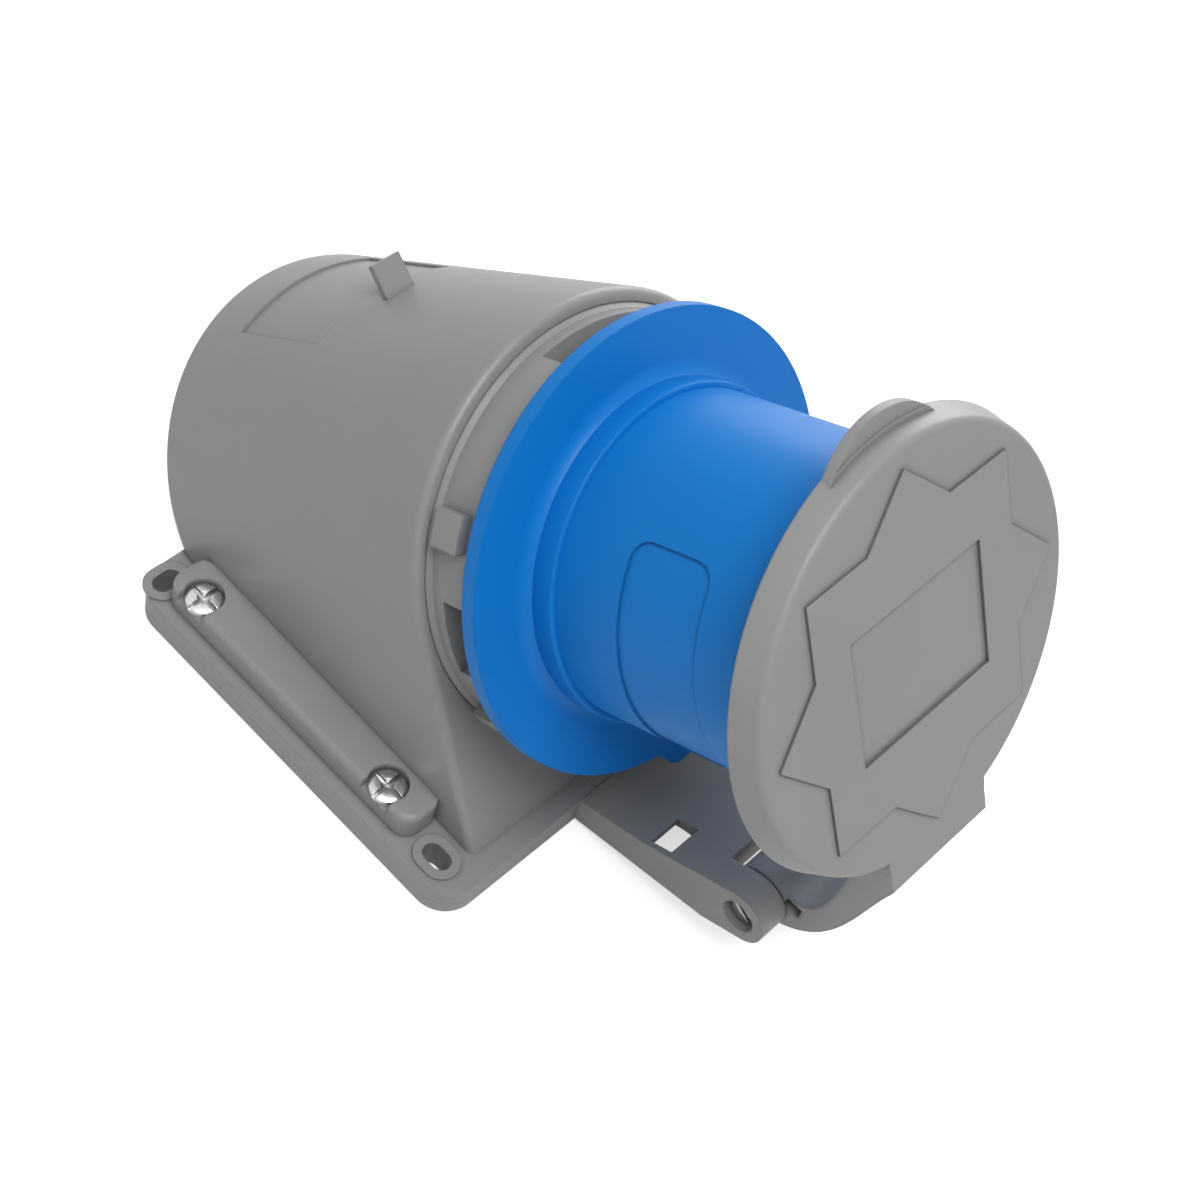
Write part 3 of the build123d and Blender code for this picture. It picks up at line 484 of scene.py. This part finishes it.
def smoothPiece(piece, angle=plainSmooth):
    bpy.ops.object.select_all(action="DESELECT")
    piece.select_set(True)
    bpy.context.view_layer.objects.active = piece
    bpy.ops.object.shade_smooth_by_angle(angle=math.radians(angle))


def joinPieces(first, *others):
    bpy.ops.object.select_all(action="DESELECT")
    for other in others:
        other.select_set(True)
    first.select_set(True)
    bpy.context.view_layer.objects.active = first
    bpy.ops.object.join()


def finishPiece(piece, material, slotName, body, *replaced):
    piece.data.materials.clear()
    piece.data.materials.append(material)
    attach(piece, body)
    if replaced:
        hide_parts(*replaced)


# cover screws: domed heads with a slot from edge to edge and a shorter cross
coverScrew = {
    "headRadius": 0.0046, "rimHeight": 0.0021, "headEdge": 0.00012,
    "dome": ((0.0008, 0.00026), (0.0010, 0.00014), (0.0011, 0.00006)),     # inwards and up, step by step
    "slotWidth": 0.0013, "slotDepth": 0.0015, "crossLength": 0.0088, "crossWidth": 0.0012, "crossDepth": 0.9,
    "recessRadius": 0.0019, "recessTip": 0.0005, "recessDepth": 0.0017,
    "shankRadius": 0.0021, "shankEdge": 0.0004,
}
slotReach = 2.4     # a slot cutter's length, in radii of the head, to run out at both sides
overTop = 0.001     # metres that a slot cutter stands above the head
# a deep painted shade in the slots and the recess of the screw heads
screwZinc = pieceMaterial("screwZinc", {
    "colour": (0.66, 0.66, 0.665), "metallic": 1.0, "roughness": 0.26,
    "grainScale": 1800.0, "grainDepth": 0.15, "shadeChange": 0.16,
    "edgeRadius": 0.0001, "cornerReach": 0.0012, "edgeShade": 1.15, "cornerShade": 0.12,
})


def makeScrew(look, top, tip):
    rise = sum(step[1] for step in look["dome"])
    head = addPrimitive("cylinder", "screwHead", vertices=64, radius=look["headRadius"],
                        depth=look["rimHeight"], location=(0, 0, top - rise - look["rimHeight"] / 2))
    bpy.ops.object.mode_set(mode="EDIT")
    pickFaces(head, lambda centre, normal: normal.z > 0.9)
    for narrower, higher in look["dome"]:
        bpy.ops.mesh.inset(thickness=narrower)
        bpy.ops.transform.translate(value=(0, 0, higher))
    bpy.ops.object.mode_set(mode="OBJECT")
    cutters = (
        (look["headRadius"] * slotReach, look["slotWidth"], look["slotDepth"]),
        (look["crossWidth"], look["crossLength"], look["slotDepth"] * look["crossDepth"]),
    )
    for long, wide, deep in cutters:
        cutter = addPrimitive("cube", "slotCutter", size=1, location=(0, 0, top - deep / 2 + overTop / 2),
                              scale=(long, wide, deep + overTop))
        cutAway(head, cutter)
    cone = addPrimitive("cone", "recessCutter", vertices=32, radius1=look["recessTip"],
                        radius2=look["recessRadius"], depth=look["recessDepth"] + slack,
                        location=(0, 0, top - look["recessDepth"] / 2 + slack))
    cutAway(head, cone)
    softenEdges(head, look["headEdge"])
    shank = addPrimitive("cylinder", "screwShank", vertices=32, radius=look["shankRadius"],
                         depth=top - rise - look["rimHeight"] - tip,
                         location=(0, 0, (top - rise - look["rimHeight"] + tip) / 2))
    softenEdges(shank, look["shankEdge"])
    joinPieces(head, shank)
    smoothPiece(head)
    return head


screwLow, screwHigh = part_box("cover_screw_1")
patternScrew = makeScrew(coverScrew, screwHigh[2], screwLow[2])
for number in range(1, 5):
    node = "cover_screw_" + str(number)
    low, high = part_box(node)
    copy = patternScrew.copy()
    copy.data = patternScrew.data.copy()
    copy.name = "coverScrew" + str(number)
    scene.collection.objects.link(copy)
    bpy.ops.object.select_all(action="DESELECT")
    copy.select_set(True)
    bpy.context.view_layer.objects.active = copy
    copy.location = ((low[0] + high[0]) / 2, (low[1] + high[1]) / 2, 0)
    bpy.ops.object.transform_apply(location=True, rotation=True, scale=True)
    finishPiece(copy, screwZinc, "bright_steel", "inlet", node)
bpy.data.objects.remove(patternScrew)
print("cover screws made")


# rings and skirts
mouth = {"centre": (0.0, -0.1095, 0.1124), "tilt": math.radians(29)}


def mouthPlace(depth, up=0.0):
    # a place on the mouth's middle plane, from the lid's front along the axis and up across it
    x, y, z = mouth["centre"]
    return (x, y + depth * math.cos(mouth["tilt"]) + up * math.sin(mouth["tilt"]),
            z - depth * math.sin(mouth["tilt"]) + up * math.cos(mouth["tilt"]))


mouthTurn = (math.pi / 2 - mouth["tilt"], 0, 0)     # turns +Z to the way out of the mouth
mouthOut = Vector((0, -math.cos(mouth["tilt"]), math.sin(mouth["tilt"])))


def hollowThrough(piece, axis, wall):
    # opens both ends across the axis and joins them with an inner wall
    bpy.ops.object.mode_set(mode="EDIT")
    pickFaces(piece, lambda centre, normal: abs(normal.dot(axis)) > 0.99)
    bpy.ops.mesh.inset(thickness=wall)
    bpy.ops.mesh.delete(type="FACE")
    bpy.ops.mesh.select_mode(type="EDGE")
    bpy.ops.mesh.select_all(action="DESELECT")
    bpy.ops.mesh.select_non_manifold()
    bpy.ops.mesh.bridge_edge_loops()
    bpy.ops.mesh.select_all(action="SELECT")
    bpy.ops.mesh.normals_make_consistent(inside=False)
    bpy.ops.object.mode_set(mode="OBJECT")


collarFoot = {"outside": 0.0526, "collar": 0.0515, "front": 0.0957, "rear": 0.0972, "wall": 0.0004}
footRing = addPrimitive("cone", "collarFoot", vertices=192, radius1=collarFoot["outside"],
                        radius2=collarFoot["collar"], depth=collarFoot["rear"] - collarFoot["front"],
                        rotation=mouthTurn,
                        location=mouthPlace((collarFoot["rear"] + collarFoot["front"]) / 2))
hollowThrough(footRing, mouthOut, collarFoot["wall"])
smoothPiece(footRing)
finishPiece(footRing, greyPlastic, "grey_plastic", "inlet")

shroudFoot = {"outside": 0.0409, "wall": 0.0018, "front": 0.0692, "rear": 0.0753, "edge": 0.0004}
shroudRing = addPrimitive("cylinder", "shroudFoot", vertices=192, radius=shroudFoot["outside"],
                          depth=shroudFoot["rear"] - shroudFoot["front"], rotation=mouthTurn,
                          location=mouthPlace((shroudFoot["rear"] + shroudFoot["front"]) / 2))
hollowThrough(shroudRing, mouthOut, shroudFoot["wall"])
softenEdges(shroudRing, shroudFoot["edge"], 3, 60)
smoothPiece(shroudRing)
finishPiece(shroudRing, bluePlastic, "blue_plastic", "inlet")

# skirt that carries the flange's outline down over the tray to the wall
skirt = {"width": 0.142, "front": -0.0613, "rear": 0.0552, "corner": 0.009, "low": 0.00005, "high": 0.00398,
         "wall": 0.001}
traySkirt = addPrimitive("cube", "traySkirt", size=1,
                         scale=(skirt["width"], skirt["rear"] - skirt["front"], skirt["high"] - skirt["low"]),
                         location=(0, (skirt["front"] + skirt["rear"]) / 2,
                                   (skirt["high"] + skirt["low"]) / 2))
bpy.ops.object.mode_set(mode="EDIT")
bpy.ops.mesh.select_mode(type="EDGE")
bpy.ops.mesh.select_all(action="DESELECT")
outline = bmesh.from_edit_mesh(traySkirt.data)
for edge in outline.edges:
    edge.select_set(isUpright(edge.verts[0].co, edge.verts[1].co))
bmesh.update_edit_mesh(traySkirt.data)
bpy.ops.mesh.bevel(offset=skirt["corner"], segments=16, affect="EDGES")
bpy.ops.object.mode_set(mode="OBJECT")
hollowThrough(traySkirt, Vector((0, 0, 1)), skirt["wall"])
smoothPiece(traySkirt)
finishPiece(traySkirt, greyPlastic, "grey_plastic", "inlet")
print("rings and skirt made")


# merged copies of frame pieces whose forms are refined here
mergeDistance = 0.000004


def mergedCopy(node, name):
    copy = bpy.data.objects.new(name, nodes[node].data.copy())
    scene.collection.objects.link(copy)
    bpy.ops.object.select_all(action="DESELECT")
    copy.select_set(True)
    bpy.context.view_layer.objects.active = copy
    bpy.ops.mesh.customdata_custom_splitnormals_clear()
    bpy.ops.object.mode_set(mode="EDIT")
    bpy.ops.mesh.select_all(action="SELECT")
    bpy.ops.mesh.remove_doubles(threshold=mergeDistance)
    bpy.ops.mesh.select_all(action="DESELECT")
    bpy.ops.mesh.select_non_manifold()
    bpy.ops.object.mode_set(mode="OBJECT")
    print(name, "open edges", sum(edge.select for edge in copy.data.edges))
    return copy


def bevelPicked(piece, test, offset, segments):
    # in object mode: bevels the edges whose two ends pass the test
    bpy.ops.object.select_all(action="DESELECT")
    piece.select_set(True)
    bpy.context.view_layer.objects.active = piece
    bpy.ops.object.mode_set(mode="EDIT")
    bpy.ops.mesh.select_mode(type="EDGE")
    bpy.ops.mesh.select_all(action="DESELECT")
    shape = bmesh.from_edit_mesh(piece.data)
    for edge in shape.edges:
        edge.select_set(bool(test(edge.verts[0].co, edge.verts[1].co)))
    bmesh.update_edit_mesh(piece.data)
    bpy.ops.mesh.bevel(offset=offset, segments=segments, affect="EDGES")
    bpy.ops.object.mode_set(mode="OBJECT")


# housing: the rails' outer top edges and ends are strongly rounded
rail = {
    "inner": 0.0500, "outer": 0.0676, "front": -0.0423, "rear": 0.0466, "low": 0.0100, "top": 0.0180,
    "corner": 0.0045, "round": 0.0016,
    "from": 0.0573, "shell": (0.0120, 0.0030), "past": 0.004,     # what is trimmed to the rounded block
}
boreMouth = {"seat": 0.01445, "width": 0.0092, "long": 0.008, "high": 0.006}     # opens a bore sideways
housingForm = mergedCopy("housing", "housingShell")
railMiddle = (rail["rear"] + rail["front"]) / 2
shellWidth, shellHeight = rail["shell"]
for side in (-1, 1):
    block = addPrimitive("cube", "railBlock", size=1,
                         scale=(rail["outer"] - rail["inner"], rail["rear"] - rail["front"],
                                rail["top"] - rail["low"]),
                         location=(side * (rail["outer"] + rail["inner"]) / 2, railMiddle,
                                   (rail["top"] + rail["low"]) / 2))
    bevelPicked(block, lambda a, b: isUpright(a, b) and abs(a.x) > rail["outer"] - slack, rail["corner"], 10)
    bevelPicked(block, lambda a, b: min(a.z, b.z) > rail["top"] - hair
                and max(abs(a.x), abs(b.x)) > rail["inner"] + slack, rail["round"], 6)
    shell = addPrimitive("cube", "railShell", size=1,
                         scale=(shellWidth, rail["rear"] - rail["front"] + rail["past"], shellHeight),
                         location=(side * (rail["from"] + shellWidth / 2), railMiddle,
                                   rail["top"] - rail["round"] + shellHeight / 2))
    cutAway(shell, block)
    cutAway(housingForm, shell)
for number in range(1, 5):
    low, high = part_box("cover_screw_" + str(number))
    middleX, middleY = (low[0] + high[0]) / 2, (low[1] + high[1]) / 2
    away = math.copysign(boreMouth["long"] / 2, middleX)
    mouthCutter = addPrimitive("cube", "boreMouthCutter", size=1,
                               scale=(boreMouth["long"], boreMouth["width"], boreMouth["high"]),
                               location=(middleX + away, middleY, boreMouth["seat"] + boreMouth["high"] / 2))
    cutAway(housingForm, mouthCutter)
smoothPiece(housingForm, fineSmooth)
finishPiece(housingForm, housingPlastic, "grey_plastic", "inlet", "housing")
print("housing refined")

# lid: side band drawn in towards the front, with a small rounded front edge; the lip and the arm are left out
lidRim = {
    "radius": 0.0525, "draft": math.radians(16), "front": 0.0006, "rear": 0.0076, "round": 0.0013,
    "outside": 0.062, "past": 0.004,      # the cutter's outer radius, and how far it goes on behind the band
    "lip": {"radius": 0.02085, "peak": 0.0572, "front": 0.0049, "rear": 0.0120},
    "arm": {"half": 0.0172, "low": -0.075, "high": -0.0380, "front": -0.0100, "rear": 0.0300},
}
lidForm = mergedCopy("lid", "lidCover")
rearEnd, frontEnd = lidRim["rear"] + lidRim["past"], lidRim["front"]
spread = math.tan(lidRim["draft"])
disc = addPrimitive("cone", "lidDisc", vertices=256, radius1=lidRim["radius"] + lidRim["past"] * spread,
                    radius2=lidRim["radius"] - (lidRim["rear"] - frontEnd) * spread, depth=rearEnd - frontEnd,
                    rotation=mouthTurn, location=mouthPlace((rearEnd + frontEnd) / 2))
frontPlace = Vector(mouthPlace(frontEnd))
bevelPicked(disc, lambda a, b: all(abs((end - frontPlace).dot(mouthOut)) < hair for end in (a, b)),
            lidRim["round"], 6)
rimRear, rimFront = rearEnd - 2 * slack, frontEnd - slack      # the disc stands clear of the cutter's rear
rim = addPrimitive("cylinder", "lidRim", vertices=128, radius=lidRim["outside"], depth=rimRear - rimFront,
                   rotation=mouthTurn, location=mouthPlace((rimRear + rimFront) / 2))
cutAway(rim, disc)
lip = lidRim["lip"]
lipZone = addPrimitive("cylinder", "lipZone", vertices=128, radius=lip["radius"], rotation=mouthTurn,
                       depth=lip["rear"] - lip["front"],
                       location=mouthPlace((lip["front"] + lip["rear"]) / 2, lip["peak"] - lip["radius"]))
cutAway(rim, lipZone)
arm = lidRim["arm"]
armZone = addPrimitive("cube", "armZone", size=1, rotation=mouthTurn,
                       scale=(arm["half"] * 2, arm["high"] - arm["low"], arm["rear"] - arm["front"]),
                       location=mouthPlace((arm["front"] + arm["rear"]) / 2, (arm["low"] + arm["high"]) / 2))
cutAway(rim, armZone)
cutAway(lidForm, rim)
armPocket = {"place": (-0.1184, 0.0289), "size": (0.0046, 0.0034), "depth": 0.0025, "side": 0.0170}
for side in (-1, 1):
    pocket = addPrimitive("cube", "pocketCutter", size=1,
                          scale=(armPocket["depth"] * 2, armPocket["size"][0], armPocket["size"][1]),
                          location=(side * armPocket["side"], *armPocket["place"]))
    cutAway(lidForm, pocket)
smoothPiece(lidForm, fineSmooth)
finishPiece(lidForm, lidPlastic, "grey_plastic", "lid", "lid")
print("lid refined")

# hinge bracket: a deep recess round the pin's head in the left ear, and two hollows underneath
pinLow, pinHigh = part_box("hinge_pin")
pinY, pinZ = (pinLow[1] + pinHigh[1]) / 2, (pinLow[2] + pinHigh[2]) / 2
recess = {"radius": 0.0045, "depth": 0.0042}
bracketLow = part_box("hinge_bracket")[0]
bracketForm = mergedCopy("hinge_bracket", "bracketBody")
recessCutter = addPrimitive("cylinder", "recessCutter", vertices=48, radius=recess["radius"],
                            depth=recess["depth"] * 2, rotation=(0, math.pi / 2, 0),
                            location=(bracketLow[0], pinY, pinZ))
cutAway(bracketForm, recessCutter)
underside = {"inner": 0.0096, "outer": 0.0230, "centre": (-0.08347, 0.0075), "long": 0.0342, "high": 0.0140,
             "slope": math.radians(-22.9)}
for side in (-1, 1):
    hollow = addPrimitive("cube", "hollowCutter", size=1,
                          scale=(underside["outer"] - underside["inner"], underside["long"],
                                 underside["high"]),
                          rotation=(underside["slope"], 0, 0),
                          location=(side * (underside["outer"] + underside["inner"]) / 2,
                                    *underside["centre"]))
    cutAway(bracketForm, hollow)
smoothPiece(bracketForm, fineSmooth)
finishPiece(bracketForm, bracketLightenedPlastic, "grey_plastic", "inlet", "hinge_bracket")
print("bracket refined")

# lid spring: the coil and its bracket leg stay, the leg in the lid goes with the lid
springCut = pinY - 0.00516      # a plane just in front of the coil
for name, body, keepsLeg in (("springCoil", "inlet", False), ("springLidLeg", "lid", True)):
    wire = mergedCopy("lid_spring", name)
    bpy.ops.object.mode_set(mode="EDIT")
    bpy.ops.mesh.select_all(action="SELECT")
    bpy.ops.mesh.bisect(plane_co=(0, springCut, pinZ), plane_no=(0, 1, 0), use_fill=False,
                        clear_inner=not keepsLeg, clear_outer=keepsLeg)
    bpy.ops.mesh.select_all(action="SELECT")
    bpy.ops.mesh.remove_doubles(threshold=hair)
    bpy.ops.mesh.delete_loose()
    bpy.ops.mesh.select_all(action="SELECT")
    bpy.ops.mesh.fill_holes(sides=0)
    bpy.ops.mesh.select_all(action="SELECT")
    bpy.ops.mesh.normals_make_consistent(inside=False)
    bpy.ops.object.mode_set(mode="OBJECT")
    smoothPiece(wire, wireSmooth)
    finishPiece(wire, brightSteel, "bright_steel", body, "lid_spring")
print("spring divided")

# hinge pin: a slotted head sunk in the left ear, the shaft through the knuckle
hingePin = {
    "headRadius": 0.0036, "headHeight": 0.0022, "edge": 0.00018,
    "slotWidth": 0.0011, "slotDepth": 0.0012, "slotTurn": 30,      # degrees
    "shaftRadius": 0.0025,
}
headFront = bracketLow[0] + recess["depth"] - hingePin["headHeight"]
pin = addPrimitive("cylinder", "hingePin", vertices=48, radius=hingePin["headRadius"],
                   depth=hingePin["headHeight"], rotation=(0, math.pi / 2, 0),
                   location=(headFront + hingePin["headHeight"] / 2, pinY, pinZ))
bpy.ops.object.mode_set(mode="EDIT")
pickFaces(pin, lambda centre, normal: normal.x > 0.9)
bpy.ops.mesh.inset(thickness=hingePin["headRadius"] - hingePin["shaftRadius"])
bpy.ops.mesh.extrude_region_move(
    TRANSFORM_OT_translate={"value": (pinHigh[0] - headFront - hingePin["headHeight"], 0, 0)})
bpy.ops.object.mode_set(mode="OBJECT")
slotCutter = addPrimitive("cube", "slotCutter", size=1,
                          scale=(hingePin["slotDepth"] * 2, hingePin["headRadius"] * slotReach,
                                 hingePin["slotWidth"]),
                          rotation=(math.radians(hingePin["slotTurn"]), 0, 0),
                          location=(headFront, pinY, pinZ))
cutAway(pin, slotCutter)
softenEdges(pin, hingePin["edge"])
smoothPiece(pin)
finishPiece(pin, brightSteel, "bright_steel", "inlet", "hinge_pin")
print("hinge pin made")

print("done")
